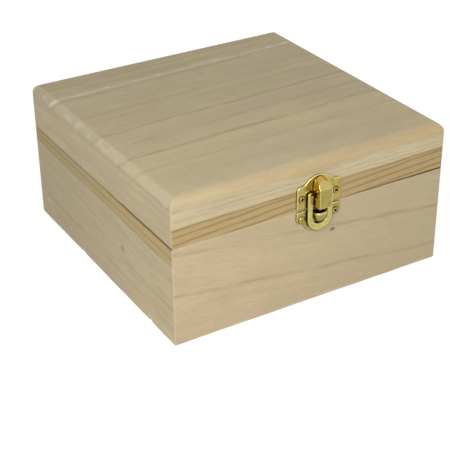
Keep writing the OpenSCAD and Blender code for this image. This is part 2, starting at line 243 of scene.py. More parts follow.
def mark_value(tree, mark):
    """Value per point that a piece carries for its material, 0 where it carries none."""
    return add_node(tree, "Attribute", {}, attribute_name=mark).node.outputs["Fac"]


def new_finish(name):
    """New material with its shader tree, and the place on the piece in millimetres."""
    material = bpy.data.materials.new(name)
    material.use_nodes = True
    tree = material.node_tree
    position = tree.nodes.new("ShaderNodeTexCoord").outputs["Object"]
    place = add_node(tree, "VectorMath", {0: position, "Scale": 1 / mm}, operation="SCALE")
    return material, tree, place


def link_finish(tree, colour, rough, relief, strength, depth):
    """Give the shader its colour, its roughness and a fine relief of a depth in millimetres."""
    shader = tree.nodes["Principled BSDF"].inputs
    bump = add_node(tree, "Bump", {"Height": relief, "Strength": strength, "Distance": depth * mm})
    for value, socket in ((colour, "Base Color"), (rough, "Roughness"), (bump, "Normal")):
        tree.links.new(value, shader[socket])


def wood(name, along, across, light, deep, line, slope, seed, lines=(), rings=(), band=None, knots=(),
         smears=(), putty=None, worn=tint(222, 207, 174), far_light_tone=None, tilt=None, figure=1.0, seam_shade=None):
    """Bare paulownia: soft clouds, faint streaks, pores and fibres that all run along the grain.

    The place across the grain leans by slope and wanders slowly. lines lists single year lines as
    (place, strength, fade), sharper on one side than on the other; rings lists sets of them as
    (spacing, start, strength). band is a darker heartwood strip as (edge, slope of the edge, side,
    colour, colour at the far end, slope of its lines, spacing, start, strength), where the colour at
    the far end paints a change of light along the board. knots lists pin knots and scuffs, and smears
    pale smears, as (along, across, half length, half height, strength).
    putty is the place of a filled joint, worn the mottled colour of rubbed edges, and far_light_tone a
    colour that the board takes on towards its far end, a painted change of light along it. tilt is how
    far the year rings lean per millimetre of depth, given where end grain shows, and figure is how
    lively streaks and flecks are. burn is a painted shade of the seam on the outside as (low, high,
    from, to, first, second): between two heights, it goes from the first to the second strength along
    the board.
    """
    material, tree, place = new_finish(name)
    split = tree.nodes.new("ShaderNodeSeparateXYZ")
    tree.links.new(place, split.inputs[0])
    axes = dict(zip("XYZ", split.outputs))
    run, level = axes.pop(along), axes.pop(across)
    inward = axes.popitem()[1]
    far_end = smooth(tree, run, -70, 80)
    leaning = scaled(tree, run, slope, level)
    if tilt:
        leaning = scaled(tree, calc(tree, "SUBTRACT", inward, box_height), tilt, leaning)
    plain = add_node(tree, "CombineXYZ", {0: run, 1: leaning, 2: inward})
    wander = calc(tree, "SUBTRACT", noise(tree, plain, (110, 34, 34), seed), 0.5)
    ripple = calc(tree, "SUBTRACT", noise(tree, plain, (24, 9, 9), seed + 3), 0.5)
    near = scaled(tree, ripple, 2.8, leaning)
    bent = scaled(tree, ripple, 1.2, scaled(tree, wander, 7.0, leaning))
    grain = add_node(tree, "CombineXYZ", {0: run, 1: bent, 2: inward})
    streaks = noise(tree, grain, (95, 3.2, 7), seed + 5, 3.0)
    broad = noise(tree, grain, (150, 13, 20), seed + 7, 2.0)
    cloud = noise(tree, plain, (34, 15, 15), seed + 8, 3.0)
    fibres = noise(tree, grain, (11, 0.42, 0.6), seed + 9, 2.0)
    pores = smooth(tree, noise(tree, grain, (5.0, 0.3, 0.36), seed + 11, 1.0), 0.56, 0.66)
    patchy = noise(tree, grain, (36, 5, 9), seed + 13, 2.0)
    flecks = noise(tree, grain, (15, 2.2, 4), seed + 15, 2.0)

    def year_lines(across_place, spacing, start, fade):
        """Darkness of year lines at multiples of a spacing, which fade out on one side."""
        turns = calc(tree, "DIVIDE", calc(tree, "SUBTRACT", across_place, start), spacing)
        below = times(tree, calc(tree, "FRACT", turns), spacing)
        above = calc(tree, "SUBTRACT", spacing, below)
        soft = smooth(tree, above, fade, 0.0)
        return calc(tree, "MAXIMUM", times(tree, soft, soft), smooth(tree, below, 0.45, 0.0))

    tone = scaled(tree, broad, 0.5, times(tree, cloud, 0.5))
    colour = mix(tree, smooth(tree, tone, 0.34, 0.66), light, deep)
    # Painted change of light towards the far end of the board.
    if far_light_tone:
        colour = mix(tree, far_end, colour, far_light_tone)
    colour = mix(tree, times(tree, smooth(tree, streaks, 0.48, 0.8), 0.22 * figure), colour, line)
    for spacing, start, strength in rings:
        shown = year_lines(bent, spacing, start, min(3.4, 0.6 * spacing))
        shown = times(tree, shown, smooth(tree, patchy, 0.3, 0.66), strength)
        colour = mix(tree, shown, colour, line)
    for start, strength, fade in lines:
        off = calc(tree, "SUBTRACT", near, start)
        shown = times(tree, smooth(tree, off, -0.5 * fade, 0.2), smooth(tree, off, fade, 0.0),
                      smooth(tree, patchy, 0.3, 0.62), smooth(tree, flecks, 0.2, 0.58), 1.25 * strength)
        colour = mix(tree, shown, colour, line)
    if band:
        edge, edge_slope, side, heart, far_lit_heart, line_slope, spacing, start, strength = band
        # Painted change of light towards the band's far end.
        heart = mix(tree, far_end, heart, far_lit_heart)
        reach = scaled(tree, ripple, 1.4, scaled(tree, run, edge_slope, level))
        inside = smooth(tree, reach, edge - 0.9 * side, edge + 0.9 * side)
        from_rim = calc(tree, "ABSOLUTE", calc(tree, "SUBTRACT", reach, edge + 0.5 * side))
        rim = times(tree, smooth(tree, from_rim, 1.1, 0.1), smooth(tree, patchy, 0.3, 0.6))
        rising = scaled(tree, ripple, 1.8, scaled(tree, run, line_slope, level))
        stripes = year_lines(rising, spacing, start, 0.5 * spacing)
        stripes = times(tree, stripes, smooth(tree, patchy, 0.1, 0.5))
        finer = year_lines(rising, spacing / 2.7, start + 0.9, 0.25 * spacing)
        finer = times(tree, finer, smooth(tree, flecks, 0.35, 0.65), 0.4)
        stripes = calc(tree, "MAXIMUM", calc(tree, "MAXIMUM", stripes, finer), rim)
        striped = mix(tree, times(tree, stripes, strength), heart, line)
        striped = mix(tree, times(tree, smooth(tree, streaks, 0.45, 0.75), 0.1), striped, line)
        colour = mix(tree, inside, colour, striped)
    lively = scaled(tree, flecks, 0.2 * figure, 0.93 - 0.1 * figure)
    shade = scaled(tree, fibres, 0.16, lively)
    colour = add_node(tree, "MixRGB", {0: 1.0, 1: colour, 2: shade}, blend_type="MULTIPLY")
    colour = mix(tree, times(tree, pores, 0.24), colour, line)
    spots = [(knot, tint(82, 72, 50)) for knot in knots]
    spots += [(smear, tint(232, 226, 206)) for smear in smears]
    for (middle, height, half_l, half_h, strength), stain in spots:
        aside = calc(tree, "DIVIDE", calc(tree, "SUBTRACT", run, middle), half_l)
        upward = calc(tree, "DIVIDE", calc(tree, "SUBTRACT", level, height), half_h)
        far = calc(tree, "SQRT", scaled(tree, aside, aside, times(tree, upward, upward)))
        spot = smooth(tree, scaled(tree, ripple, 0.9, far), 1.2, 0.2)
        colour = mix(tree, times(tree, spot, strength), colour, stain)
    if tilt:
        blotch = noise(tree, place, (9, 8, 4), seed + 19, 3.0)
        cut = scaled(tree, smooth(tree, blotch, 0.45, 0.7), 0.3, 0.18)
        colour = mix(tree, times(tree, mark_value(tree, "end"), cut), colour, tint(228, 217, 190))
    if putty is not None:
        off = calc(tree, "ABSOLUTE", calc(tree, "SUBTRACT", leaning, putty))
        spread = noise(tree, place, (9, 5, 60), 17.0, 3.0)
        film = times(tree, smooth(tree, off, 3.0, 0.6), smooth(tree, spread, 0.25, 0.55))
        filled = times(tree, smooth(tree, off, 1.8, 0.5), smooth(tree, spread, 0.54, 0.68))
        drop = times(tree, smooth(tree, run, -84, -87), smooth(tree, off, 2.6, 1.0), mark_value(tree, "end"))
        filled = calc(tree, "MAXIMUM", filled, drop)
        colour = mix(tree, times(tree, film, 0.36), colour, tint(220, 211, 184))
        colour = mix(tree, times(tree, filled, 0.5), colour, tint(238, 232, 214))
    mottled = scaled(tree, smooth(tree, flecks, 0.3, 0.7), 0.8, 0.6)
    rubbed = times(tree, mark_value(tree, "edge"), smooth(tree, patchy, 0.0, 0.45),
                   scaled(tree, fibres, 1.1, -0.05), mottled)
    colour = mix(tree, rubbed, colour, worn)
    # Painted shade of the seam's gap along the rim.
    if seam_shade:
        low, high, start, stop, first, second = seam_shade
        height = scaled(tree, ripple, 0.5, level)
        outside = smooth(tree, calc(tree, "ABSOLUTE", inward), half_width - 1.0, half_width - 0.3)
        grown = scaled(tree, smooth(tree, run, start, stop), second - first, first)
        seam_shaded = times(tree, smooth(tree, height, low - 0.15, low + 0.15),
                      smooth(tree, height, high + 0.25, high - 0.15), outside, grown)
        colour = mix(tree, seam_shaded, colour, tint(86, 54, 6))
    rough = scaled(tree, fibres, 0.18, 0.56)
    relief = scaled(tree, fibres, 0.6, times(tree, streaks, 0.4))
    relief = calc(tree, "SUBTRACT", relief, times(tree, pores, 0.5))
    tree.nodes["Principled BSDF"].inputs["Specular IOR Level"].default_value = 0.28
    link_finish(tree, colour, rough, relief, strength=0.35, depth=0.12)
    return material


body_section = [(0, 0), (rebate_deep, 0), (rebate_deep, rebate_high), (wall_thick, rebate_high),
                (wall_thick, body_high), (0, body_high)]
body_signs = [(-1, -1), (1, -1), (0, 0), (1, -1), (1, 1), (-1, 1)]
body_walls = ("box_body", body_section, body_signs)


def body_eases(seed, rim, chips=()):
    """Eases of the six section corners: the outer foot, three of the rebate and the two rim edges.

    Each chip is a place along the foot where a splinter has gone: a bell-shaped rise of the ease.
    """
    chip_r, chip_long = 1.3, 1.6

    def foot(x):
        """Ease of the foot: a wandering radius, plus the bells of the chips."""
        gone = sum(chip_r * np.exp(-((x - chip) / chip_long) ** 2) for chip in chips)
        return 0.6 + wobble(x, seed, 0.3) + gone

    return [foot] + [eased(0.2)] * 3 + [eased(0.5, seed + 1, 0.15), rim]


add_wall("body_front_wall", 0, body_walls, body_eases(1, eased(0.12, 4, 0.04)), wood(
    "wood_body_front", "X", "Z", tint(206, 185, 151), tint(195, 176, 143), tint(156, 127, 86),
    slope=0.1167, seed=2.0, lines=[(45.8, 0.42, 3.0), (20.2, 0.42, 3.0)], rings=[(6.1, 2.0, 0.03)],
    knots=[(12.6, 42.4, 2.0, 1.2, 0.75)], far_light_tone=tint(194, 178, 144), figure=0.5))

add_wall("body_right_wall", 1, body_walls, body_eases(2, eased(0.4, 5, 0.12)), wood(
    "wood_body_right", "Y", "Z", tint(205, 187, 153), tint(194, 177, 143), tint(158, 132, 92),
    slope=-0.06, seed=14.0, lines=[(42.0, 0.4, 2.0), (17.0, 0.45, 2.4)], rings=[(7.0, 1.0, 0.12)]))

add_wall("body_back_wall", 2, body_walls, body_eases(3, eased(0.4, 6, 0.12)), wood(
    "wood_body_back", "X", "Z", tint(204, 186, 152), tint(193, 176, 143), tint(158, 132, 92),
    slope=0.04, seed=26.0, lines=[(33.0, 0.5, 2.0), (12.0, 0.4, 2.4)], rings=[(5.4, 3.0, 0.14)]))

chipped_eases = body_eases(4, eased(0.25, 7, 0.08), chips=(-27.0, 61.0))
add_wall("body_left_wall", 3, body_walls, chipped_eases, wood(
    "wood_body_left", "Y", "Z", tint(208, 192, 156), tint(198, 182, 147), tint(154, 129, 88),
    slope=-0.05, seed=38.0, lines=[(14.0, 0.25, 3.0)], rings=[(8.6, 2.0, 0.16)],
    band=(50.4, -0.017, 1, tint(197, 174, 125), tint(182, 162, 116), -0.017, 5.2, 3.8, 0.6),
    knots=[(-29.4, 31.2, 4.6, 2.6, 0.34), (-64.6, 32.6, 2.6, 1.6, 0.16)],
    smears=[(76.5, 13.0, 4.0, 1.5, 0.4), (71.5, 9.8, 6.0, 2.4, 0.14), (45.0, 8.2, 4.0, 1.2, 0.2)],
    far_light_tone=tint(192, 178, 144), seam_shade=(59.5, 61.0, 10, -88, 0.15, 0.5)), rubbed_below=50)


# The bottom: one square of thin plywood that drops into the rebate and is glued there.
# Its faces are rotary-cut veneer, so the figure is broad and wavy.

panel_wide = 168.8


def raised(flat, levels):
    """Rings of flat points, each ring at its own level, as rings of (first, second, level)."""
    return np.concatenate([flat, np.broadcast_to(levels[:, None, None], flat.shape[:2] + (1,))], axis=-1)


def slab(outline, low, high, ease):
    """Closed outline carried straight from low to high, drawn in along a quarter circle at both ends.

    Returns rings of (first, second, level), where the first two are the outline's own directions.
    """
    ahead = np.roll(outline, -1, axis=0) - np.roll(outline, 1, axis=0)
    aside = np.stack([ahead[:, 1], -ahead[:, 0]], axis=-1)
    aside /= np.linalg.norm(aside, axis=-1, keepdims=True)
    turn = np.linspace(0, np.pi / 2, 4)
    draw_in = ease * (1 - np.sin(turn))
    rise = ease * (1 - np.cos(turn))
    levels = np.concatenate([low + rise, high - rise[::-1]])
    inset = np.concatenate([draw_in, draw_in[::-1]])
    return raised(outline[None] - aside[None] * inset[:, None, None], levels)


def rounded_rect(width, height, radius, steps=5):
    """Outline of a rectangle with quarter-circle corners, centred, running anticlockwise."""
    quarter = circle(np.linspace(0, np.pi / 2, steps + 1)) * radius
    quarter += [width / 2 - radius, height / 2 - radius]
    half = np.concatenate([quarter, quarter[::-1] * [-1, 1]])
    return np.concatenate([half, -half])


panel = loft(slab(rounded_rect(panel_wide, panel_wide, 0.3), 0.0, rebate_high, 0.15))
add_piece("bottom_panel", "box_body", "plywood", wood(
    "plywood_bottom", "X", "Y", tint(206, 188, 152), tint(190, 170, 132), tint(160, 134, 92),
    slope=0.03, seed=51.0, rings=[(31.0, 4.0, 0.4), (13.0, 6.0, 0.25)]), [panel])


# The lid's frame: four low boards, mitred like the lower box and cut from other planks.
# The front one has a strip of darker heartwood with close year lines along its lower half, and
# towards the right its lower edge is eased more and carries a painted shade, so the seam looks darker.

rim_low, tight_rim_low, frame_top = 60.4, 60.08, 82.0
lid_section = [(0, rim_low), (wall_thick, rim_low), (wall_thick, frame_top), (0, frame_top)]
lid_signs = [(-1, -1), (1, -1), (1, 1), (-1, 1)]
lid_walls = ("lid", lid_section, lid_signs)
tight_wall = ("lid", [(0, tight_rim_low)] + lid_section[1:], lid_signs)


def lid_eases(seed, rim):
    """Eases of the four section corners: the outer and inner rim edges, then the glued upper edges."""
    return [rim, eased(0.45, seed, 0.15), eased(0.15), eased(0.01)]


def front_rim(x):
    """Ease of the front's lower edge: it grows to the right along a tanh curve."""
    return 0.24 + 0.12 * np.tanh((x - 45) / 30) + wobble(x, 9, 0.03)


def left_rim(x):
    """Ease of the left side's lower edge: it grows to the front along a tanh curve."""
    return 0.5 + 0.35 * np.tanh(x / 50) + wobble(x, 15, 0.06)


add_wall("lid_front_wall", 0, tight_wall, lid_eases(8, front_rim), wood(
    "wood_lid_front", "X", "Z", tint(207, 192, 158), tint(199, 184, 150), tint(142, 113, 66),
    slope=0.0, seed=63.0, lines=[(82.6, 0.6, 5.0), (80.4, 0.18, 1.2), (78.0, 0.24, 1.3), (75.6, 0.2, 1.2)],
    rings=[(4.4, 1.2, 0.08)],
    band=(73.0, -0.0135, -1, tint(187, 163, 116), tint(190, 166, 118), -0.055, 4.1, 63.6, 0.78),
    far_light_tone=tint(210, 195, 160), figure=0.8, seam_shade=(60.2, 61.1, -5, 80, 0.0, 1.0)))

add_wall("lid_right_wall", 1, lid_walls, lid_eases(10, eased(0.4, 11, 0.12)), wood(
    "wood_lid_right", "Y", "Z", tint(205, 188, 154), tint(194, 177, 144), tint(158, 132, 92),
    slope=0.05, seed=75.0, lines=[(71.0, 0.4, 2.0)], rings=[(4.8, 1.0, 0.12)]))

add_wall("lid_back_wall", 2, lid_walls, lid_eases(12, eased(0.4, 13, 0.12)), wood(
    "wood_lid_back", "X", "Z", tint(204, 187, 153), tint(193, 176, 142), tint(156, 130, 90),
    slope=-0.03, seed=87.0, lines=[(68.0, 0.4, 2.0), (76.0, 0.3, 1.6)], rings=[(3.9, 2.0, 0.14)]))

add_wall("lid_left_wall", 3, lid_walls, lid_eases(14, left_rim), wood(
    "wood_lid_left", "Y", "Z", tint(207, 190, 154), tint(196, 179, 145), tint(166, 142, 102),
    slope=0.03, seed=99.0, lines=[(80.5, 0.15, 1.5)], rings=[(6.0, 70.0, 0.08)],
    seam_shade=(60.1, 61.1, 10, -90, 0.25, 1.0)))


# The lid's top: four boards glued edge to edge, laid on the frame and rounded over all round.
# Their joints lean a little across the box. The one nearest the back has been filled with pale
# putty; the others are tight and follow a dark year line.

filled_joint, middle_joint, front_joint = 60.5, 0.5, -33.5


def top_board(front_y, back_y):
    """Board between two joints that lean by 0.042, as closed rings along X of (y, height).

    The height falls from 89 mm by the drop of a 6 mm quarter circle at each outside edge; where two
    edges meet, the eighth root of the sum of the drops' eighth powers softens the ridge. Next to a
    joint the face dips by a hair. The upright corners are rounded by 0.8 mm: a square corner is
    pressed into a quarter disc. The marks are the round edge along the front or back, and the end
    grain that shows on the round edge at both ends.
    """
    round_r, lean, dip, dip_wide, no_joint = 6.0, 7.5 / 178, 0.04, 0.22, 9.0
    end_wide, end_lift = 3.9, 0.4
    at_front, at_back = front_y == -half_width, back_y == half_width
    turn = np.linspace(0, np.pi / 2, 19)
    curve = np.r_[round_r * (1 - np.cos(turn)), round_r + 1.2]
    joint = np.array([0, 0.05, 0.12, 0.25, 0.9])
    x_end = np.r_[0, 0.2, curve[1:]]
    x = np.concatenate([-half_width + x_end, np.linspace(-81, 81, 37), half_width - x_end[::-1]])
    leaning = lean * x[:, None]
    starts = front_y + (curve if at_front else joint + leaning)
    ends = back_y - (curve if at_back else joint - leaning)
    starts, ends = [np.broadcast_to(side, (len(x), side.shape[-1])) for side in (starts, ends)]
    inner = starts[:, -1:] + (ends[:, -1:] - starts[:, -1:]) * np.linspace(0, 1, 8)[None, 1:-1]
    grid_y = np.concatenate([starts, inner, ends[:, ::-1]], axis=1)
    grid_x = np.broadcast_to(x[:, None], grid_y.shape)

    def drop(inside):
        """Fall of the rounded edge at a distance inside the outline."""
        return round_r - np.sqrt(round_r ** 2 - np.clip(round_r - inside, 0, round_r) ** 2)

    fall_x, fall_y = drop(half_width - abs(grid_x)), drop(half_width - abs(grid_y))
    height = box_height - frame_top - (fall_x ** 8 + fall_y ** 8 + 1e-30) ** 0.125
    to_front = np.full(grid_y.shape, no_joint) if at_front else grid_y - starts[:, :1]
    to_back = np.full(grid_y.shape, no_joint) if at_back else ends[:, :1] - grid_y
    height -= dip * np.clip(1 - np.minimum(to_front, to_back) / dip_wide, 0, 1) ** 2
    under_y = np.concatenate([ends[:, :1], ends[:, :1] - 0.2, starts[:, :1] + 0.2, starts[:, :1]], axis=1)
    under = np.broadcast_to([0.02, 0, 0, 0.02], under_y.shape)
    ring_y = np.concatenate([grid_y, under_y], axis=1)
    ring_x = np.broadcast_to(x[:, None], ring_y.shape)
    ring_z = frame_top + np.concatenate([height, under], axis=1)
    a = np.clip(1 - (half_width - abs(ring_x)) / corner_r, 0, 1)
    b = np.clip(1 - (half_width - abs(ring_y)) / corner_r, 0, 1)
    end = np.clip((abs(ring_x) - half_width + end_wide) / 0.7, 0, 1)
    end = end * np.clip((ring_z - frame_top - end_lift) / 2.2, 0, 1)
    ring_x = ring_x + np.sign(ring_x) * corner_r * a * (np.sqrt(1 - b * b / 2) - 1)
    ring_y = ring_y + np.sign(ring_y) * corner_r * b * (np.sqrt(1 - a * a / 2) - 1)
    edge = np.concatenate([np.clip((fall_y - 0.1) / 1.3, 0, 1), 0 * under], axis=1)
    return loft(np.stack([ring_x, ring_y, ring_z], axis=-1)), edge, end * (1 - edge)


def add_top_board(node, front_y, back_y, material, rubbed=np.ones_like):
    """Top board as a piece; rubbed gives how far its round edge is rubbed, by the place along X."""
    board, edge, end = top_board(front_y, back_y)
    edge = edge * rubbed(board[0][:, 0].reshape(edge.shape))
    add_piece(node, "lid", "wood", material, [board], edge=edge, end=end)


def top_wood(name, light, deep, line, slope, seed, **figured):
    """Wood of a top board, calmer than the walls, with end grain on its round ends."""
    return wood(name, "X", "Y", light, deep, line, slope, seed, tilt=1.1, figure=0.35, **figured)


add_top_board("lid_top_back_board", filled_joint, half_width, top_wood(
    "wood_top_back", tint(198, 184, 149), tint(185, 170, 139), tint(148, 126, 86),
    slope=-0.042, seed=111.0, lines=[(75.0, 0.3, 3.0), (68.0, 0.2, 2.4)], rings=[(4.7, 1.0, 0.1)],
    putty=filled_joint))

add_top_board("lid_top_mid_back_board", middle_joint, filled_joint, top_wood(
    "wood_top_mid_back", tint(200, 186, 151), tint(190, 175, 143), tint(148, 124, 82),
    slope=-0.042, seed=123.0,
    lines=[(0.3, 0.42, 3.4), (55.4, 0.3, 3.0), (27.6, 0.22, 3.8), (18.4, 0.18, 3.8)],
    rings=[(7.3, 1.0, 0.05)], knots=[(7.0, 48.5, 1.5, 2.8, 0.16), (-19.0, 52.5, 3.4, 2.0, 0.1)],
    putty=filled_joint))

add_top_board("lid_top_mid_front_board", front_joint, middle_joint, top_wood(
    "wood_top_mid_front", tint(200, 186, 150), tint(193, 175, 145), tint(149, 125, 83),
    slope=-0.042, seed=135.0, lines=[(0.2, 0.42, 3.4), (-33.7, 0.42, 3.4), (-17.0, 0.24, 3.6)],
    rings=[(8.0, 1.0, 0.05)]))

add_top_board("lid_top_front_board", -half_width, front_joint, top_wood(
    "wood_top_front", tint(203, 190, 151), tint(196, 179, 146), tint(154, 130, 86),
    slope=-0.036, seed=147.0, lines=[(-33.8, 0.42, 3.4), (-51.0, 0.24, 3.6)], rings=[(8.4, 2.0, 0.05)],
    worn=tint(198, 166, 119)), rubbed=lambda x: np.clip(1.2 + x / 140, 0, 1))


# The hinges: two small stamped brass butt hinges, screwed to the back of the box and of the lid.
# Each has a body leaf with the two outer knuckles, a lid leaf with the middle one, and a pin.
# A lip on the lid leaf meets the body leaf and stops the open lid.

seam = 60.2
hinge_line = np.array([0.0, 91.0, seam])
hinge_x, leaf_half, leaf_half_high, leaf_middle, plate_thick = 52.0, 12.0, 4.45, 6.55, 1.0
knuckle_r, knuckle_long, knuckle_pitch, lid_stop = 1.7, 7.867, 8.067, np.radians(105)
lip_half, hinge_pin_r, pin_head_r, pin_head_half = 3.93, 0.8, 1.25, 0.2


def brass(name, bright, stain, rough):
    """Bright-plated brass with cloudy tarnish and rubbing marks.

    A piece may carry marks for it: a painted orange reflection of the brass on a side wall,
    dark soiling with painted shade, and pale rubbed places with painted highlights.
    """
    material, tree, place = new_finish(name)
    cloud = noise(tree, place, (3.1, 3.1, 3.1), 2.0, 3.0)
    specks = noise(tree, place, (0.5, 0.5, 0.5), 7.0, 2.0)
    rubbing = noise(tree, place, (4.0, 1.0, 0.22), 11.0, 2.0)
    rub = mark_value(tree, "rub")
    colour = mix(tree, times(tree, smooth(tree, cloud, 0.42, 0.72), 0.55), bright, stain)
    colour = mix(tree, times(tree, smooth(tree, specks, 0.66, 0.8), 0.35), colour, stain)
    # Pale rubbed places and painted highlights, where a piece carries them.
    colour = mix(tree, times(tree, rub, 0.7), colour, tint(232, 223, 154))
    # Painted orange reflection of the brass, where a piece carries it.
    orange_reflection = times(tree, mark_value(tree, "orange_reflection"), smooth(tree, cloud, 0.2, 0.55))
    colour = mix(tree, orange_reflection, colour, tint(206, 166, 78))
    # Dark soiling and painted shade, where a piece carries them.
    grime = times(tree, mark_value(tree, "grime"), smooth(tree, specks, 0.0, 0.34))
    colour = mix(tree, grime, colour, tint(44, 32, 12))
    dull = scaled(tree, cloud, 0.14, rough - 0.07)
    dull = scaled(tree, smooth(tree, rubbing, 0.55, 0.8), 0.08, dull)
    dull = scaled(tree, rub, 0.18, scaled(tree, grime, 0.3, dull))
    relief = scaled(tree, specks, 0.4, times(tree, rubbing, 0.6))
    tree.nodes["Principled BSDF"].inputs["Metallic"].default_value = 1.0
    link_finish(tree, colour, dull, relief, strength=0.12, depth=0.06)
    return material


def stamped_plate(distance, centre, thick, ease, spokes=360):
    """Flat plate with a rolled edge, as points (first, second, out) and faces.

    Along each spoke from the centre the outline lies where the signed distance is zero, found by
    halving. Rings run from the back edge up the side, over a quarter circle of the ease and in to
    the centre.
    """
    farthest, halvings, held = 60.0, 40, ease + 0.4
    ray = circle(np.linspace(0, 2 * np.pi, spokes, endpoint=False))
    near, far = np.zeros(spokes), np.full(spokes, farthest)
    for _ in range(halvings):
        middle = (near + far) / 2
        outside = distance(*(np.array(centre) + ray * middle[:, None]).T) > 0
        near, far = np.where(outside, near, middle), np.where(outside, middle, far)
    turn = np.linspace(0, np.pi / 2, 5)
    draw_in = np.r_[0.0, ease * (1 - np.cos(turn)), held]
    inner = np.linspace(1, 0.02, 40)[1:, None]
    reach = np.concatenate([near[None] - draw_in[:, None], (near - held) * inner])
    height = np.r_[0.0, thick - ease + ease * np.sin(turn), np.full(len(inner) + 1, thick)]
    return loft(raised(np.array(centre) + ray[None] * reach[..., None], height))


def box_distance(first, second, middle, half, radius):
    """Signed distance to a rectangle with rounded corners; the radius may differ from point to point."""
    a = abs(first - middle[0]) - half[0] + radius
    b = abs(second - middle[1]) - half[1] + radius
    return np.hypot(np.maximum(a, 0), np.maximum(b, 0)) + np.minimum(np.maximum(a, b), 0) - radius


def disc(radius, steps=40):
    """Outline of a circle, running anticlockwise."""
    return circle(np.linspace(0, 2 * np.pi, steps, endpoint=False)) * radius


def on_back(first, second, out):
    """Hinge place in mm, along X, above the seam and out of the back, as a model place."""
    return np.stack([first, half_width + out, seam + second], axis=-1)


def hinge_slab(outline, x0, x1, ease):
    """Outline in (outwards, up) round the hinge line, carried along X."""
    rings = slab(outline, x0, x1, ease)
    return loft(hinge_line + rings[..., [2, 0, 1]])


def hinge_leaf(x, up):
    """Flat of a leaf: 24 by 8.9 mm, 1 mm thick, on the back of the box."""
    middle = (x, up * leaf_middle)
    points, faces = stamped_plate(
        lambda a, b: box_distance(a, b, middle, (leaf_half, leaf_half_high), 1.2), middle, plate_thick, 0.25)
    return on_back(*points.T), faces


def hinge_knuckle(x, number, up):
    """One of three knuckles, with the strip that joins it to its leaf."""
    x0 = x - leaf_half + number * knuckle_pitch
    x1 = x0 + knuckle_long
    neck = rounded_rect(plate_thick, 2.6, 0.1, 2) + [-1.5, up * 1.3]
    return [hinge_slab(disc(knuckle_r), x0, x1, 0.15), hinge_slab(neck, x0 + 0.05, x1 - 0.05, 0.1)]


hinge_brass = brass("brass_hinge", tint(190, 174, 104), tint(148, 122, 60), 0.27)
pin_brass = brass("brass_pin", tint(180, 160, 90), tint(134, 106, 50), 0.30)
lip = rounded_rect(0.9, 4.5, 0.2, 3) + [-0.5, -2.25]
lip = lip @ np.array([[np.cos(lid_stop), np.sin(lid_stop)], [-np.sin(lid_stop), np.cos(lid_stop)]])
for side, x in (("left", -hinge_x), ("right", hinge_x)):
    add_piece(side + "_hinge_body_leaf", "box_body", "brass", hinge_brass,
              [hinge_leaf(x, -1)] + hinge_knuckle(x, 0, -1) + hinge_knuckle(x, 2, -1))
    stop = hinge_slab(lip, x - lip_half, x + lip_half, 0.12)
    add_piece(side + "_hinge_lid_leaf", "lid", "brass", hinge_brass,
              [hinge_leaf(x, 1)] + hinge_knuckle(x, 1, 1) + [stop])
    pin = [hinge_slab(disc(hinge_pin_r), x - leaf_half, x + leaf_half, 0.05)]
    for end in (x - leaf_half - pin_head_half, x + leaf_half + pin_head_half):
        pin.append(hinge_slab(disc(pin_head_r), end - pin_head_half, end + pin_head_half, 0.18))
    add_piece(side + "_hinge_pin", "box_body", "brass", pin_brass, pin)


# The hinge screws: brass-plated, with domed heads and a cross recess, two in each leaf.
# They are driven home by hand, so each stops at its own turn; soiling and painted shade darken the recess
# and the rim.

head_r, head_high = 1.9, 0.75


def screw_head(turn):
    """Domed head with a cross recess, as points (first, second, out), faces, and the soiling and painted
    shade in the recess and round the rim.

    The height is a pan, 0.75 mm times the square root of one minus the fourth power of the radius over
    1.9 mm; two crossing arms with soft walls are sunk into it and meet in a pit.
    """
    arm_long, arm_half, pit_r = 1.3, 0.46, 0.85
    angle = np.linspace(0, 2 * np.pi, 96, endpoint=False)
    radius = np.r_[head_r, head_r, 1.89, 1.87, 1.84, 1.8, 1.74, 1.66, np.linspace(1.57, 0.04, 28)]
    first, second = radius[:, None] * np.cos(angle), radius[:, None] * np.sin(angle)
    height = head_high * np.sqrt(1 - np.clip(np.hypot(first, second) / head_r, 0, 1) ** 4)
    height[0] = -0.1
    a = abs(first * np.cos(turn) + second * np.sin(turn))
    b = abs(second * np.cos(turn) - first * np.sin(turn))

    def arm(length, width):
        """One arm of the recess: 1 inside, falling to 0 over a soft wall."""
        return np.clip((arm_long - length) / 0.16, 0, 1) * np.clip((arm_half - width) / 0.2, 0, 1)

    pit = np.clip((pit_r - np.hypot(first, second)) / 0.25, 0, 1)
    sunk = np.maximum(np.maximum(arm(a, b), arm(b, a)), pit)
    height -= sunk * np.clip(height - 0.12, 0, 0.6)
    points, faces = loft(np.stack([first, second, height], axis=-1))
    # Painted shade with soiling in the recess, and a dark ring round the rim.
    grime = np.maximum(sunk, np.clip((radius[:, None] - 1.55) / 0.3, 0, 0.85))
    return points, faces, grime.ravel()


def add_screws(node, body, put, seats):
    """Screws of one kind of plate as a piece; each seat is (first, second, turn, share of soiling and
    painted shade).
    """
    heads, grime = [], []
    for first, second, turn, darkened_share in seats:
        points, faces, darkening = screw_head(turn)
        heads.append((put(first + points[:, 0], second + points[:, 1], plate_thick + points[:, 2]), faces))
        grime.append(darkened_share * darkening)
    add_piece(node, body, "brass", screw_brass, heads, grime=np.concatenate(grime))


screw_brass = brass("brass_screw", tint(190, 175, 106), tint(140, 114, 58), 0.32)
for node, body, up in (("hinge_body_screws", "box_body", -1), ("hinge_lid_screws", "lid", 1)):
    add_screws(node, body, on_back, [
        (x, up * leaf_middle, 0.5 + 1.1 * number + up, 1.0) for number, x in enumerate((-59, -45, 45, 59))])


# The latch plate on the lid: stamped brass sheet with an arch between two ears, on two screws.
# Two lugs are bent out of it, and a pin through them carries the lever.

latch_x, latch_screw_u = 2.0, 11.1
ear_half, ear_r, seam_corner_r, swell_r = 14.4, 2.8, 0.8, 11.4
pin_v, pin_out, pin_r = 3.2, 4.6, 0.7


def on_front(first, second, out):
    """Latch place in mm, right of its middle, above the seam and out of the front, as a model place."""
    return np.stack([latch_x + first, -half_width - out, seam + second], axis=-1)


